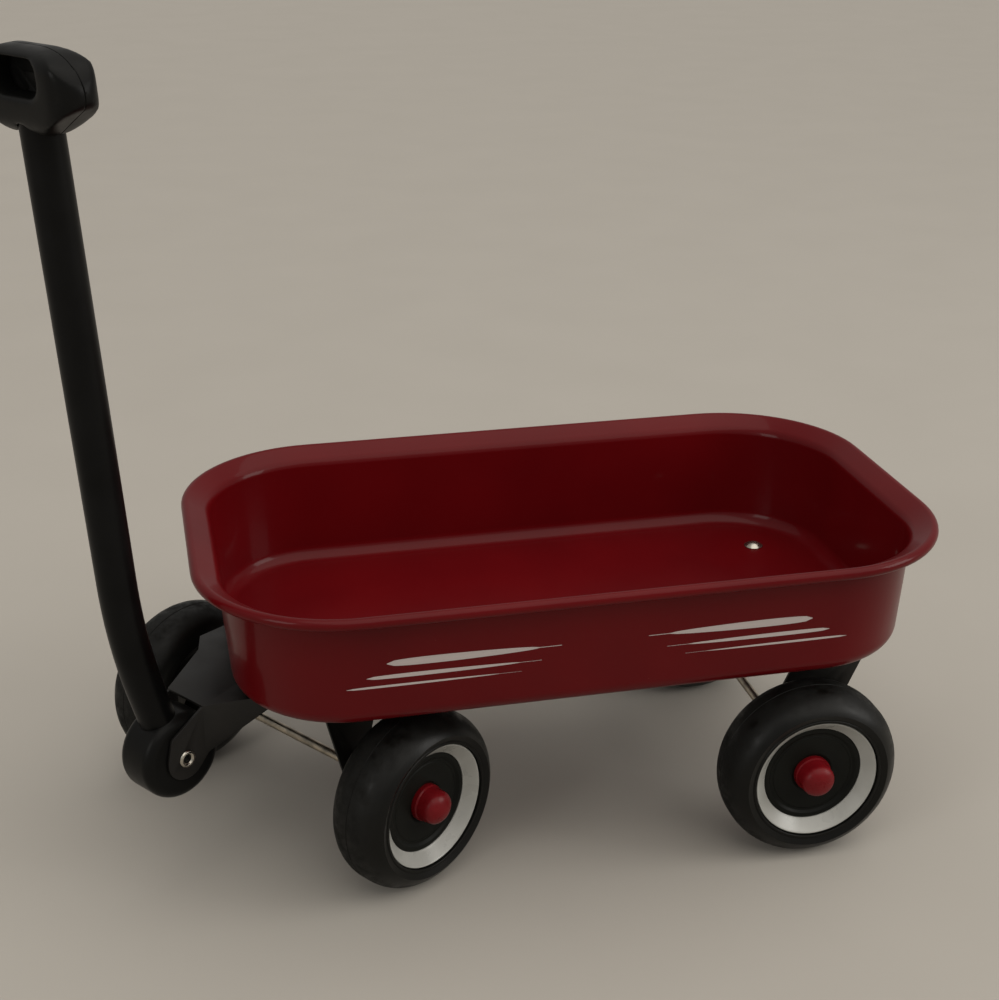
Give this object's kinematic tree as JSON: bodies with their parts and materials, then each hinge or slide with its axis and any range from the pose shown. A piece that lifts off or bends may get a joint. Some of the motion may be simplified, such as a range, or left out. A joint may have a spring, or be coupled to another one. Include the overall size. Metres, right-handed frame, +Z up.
{
  "type": "toy pull wagon",
  "caption": "Small steel pull wagon for a child: red pressed tray, folded black brackets, fat tyres with light rings, and a jointed steering handle with a loop grip.",
  "frame": {"origin": "middle of the tray floor's upper face", "axes": "+X towards the wagon's front, +Y towards its left side, +Z up"},
  "size_m": [0.3767, 0.1904, 0.3478],
  "materials": {
    "tray_enamel": "glossy red enamel",
    "bracket_paint": "satin black powder paint",
    "shaft_paint": "glossy black paint",
    "rivet_steel": "plated, smooth",
    "plated_steel": "nickel plated, drawn",
    "spacer_plastic": "moulded, matte",
    "handle_plastic": "moulded, satin",
    "hub_plastic": "moulded, satin",
    "tyre_rubber": "moulded, satin",
    "ring_plastic": "moulded, light grey white",
    "cap_plastic": "moulded, glossy red"
  },
  "bodies": {
    "wagon": {"tray": "tray_enamel", "rear_bracket": "bracket_paint", "rear_bracket_rivets": "rivet_steel", "kingpin_rivet": "rivet_steel", "kingpin_spacer": "spacer_plastic", "kingpin_washer": "plated_steel", "rear_axle": "plated_steel", "rear_axle_nuts": "plated_steel", "rear_hub_spacers": "spacer_plastic"},
    "front_truck": {"front_yoke": "bracket_paint", "front_axle": "plated_steel", "front_axle_nuts": "plated_steel", "front_hub_spacers": "spacer_plastic", "knuckle_rivet": "rivet_steel"},
    "handle": {"handle_knuckle": "handle_plastic", "handle_shaft": "shaft_paint", "grip_front_half": "handle_plastic", "grip_rear_half": "handle_plastic"},
    "rear_left_wheel": {"rear_left_tyre": "tyre_rubber", "rear_left_rim_ring": "ring_plastic", "rear_left_hub": "hub_plastic", "rear_left_hub_cap": "cap_plastic"},
    "rear_right_wheel": {"rear_right_tyre": "tyre_rubber", "rear_right_rim_ring": "ring_plastic", "rear_right_hub": "hub_plastic", "rear_right_hub_cap": "cap_plastic"},
    "front_left_wheel": {"front_left_tyre": "tyre_rubber", "front_left_rim_ring": "ring_plastic", "front_left_hub": "hub_plastic", "front_left_hub_cap": "cap_plastic"},
    "front_right_wheel": {"front_right_tyre": "tyre_rubber", "front_right_rim_ring": "ring_plastic", "front_right_hub": "hub_plastic", "front_right_hub_cap": "cap_plastic"}
  },
  "joints": [
    {"name": "steering", "type": "hinge", "parent": "wagon", "child": "front_truck", "pos_m": [0.1174, 0, -0.0054], "axis": [0, 0, 1], "range_deg": [-80.5, 9.5]},
    {"name": "handle_tilt", "type": "hinge", "parent": "front_truck", "child": "handle", "pos_m": [0.17252, 0.03931, -0.0251], "axis": [-0.5807, 0.8141, 0], "range_deg": [-12, 88]},
    {"name": "rear_left_spin", "type": "hinge", "parent": "wagon", "child": "rear_left_wheel", "pos_m": [-0.095, 0.0734, -0.0488], "axis": [0, 1, 0], "continuous": true},
    {"name": "rear_right_spin", "type": "hinge", "parent": "wagon", "child": "rear_right_wheel", "pos_m": [-0.095, -0.0734, -0.0488], "axis": [0, 1, 0], "continuous": true},
    {"name": "front_left_spin", "type": "hinge", "parent": "front_truck", "child": "front_left_wheel", "pos_m": [0.07478, 0.05976, -0.0488], "axis": [-0.5807, 0.8141, 0], "continuous": true},
    {"name": "front_right_spin", "type": "hinge", "parent": "front_truck", "child": "front_right_wheel", "pos_m": [0.16002, -0.05976, -0.0488], "axis": [-0.5807, 0.8141, 0], "continuous": true}
  ]
}
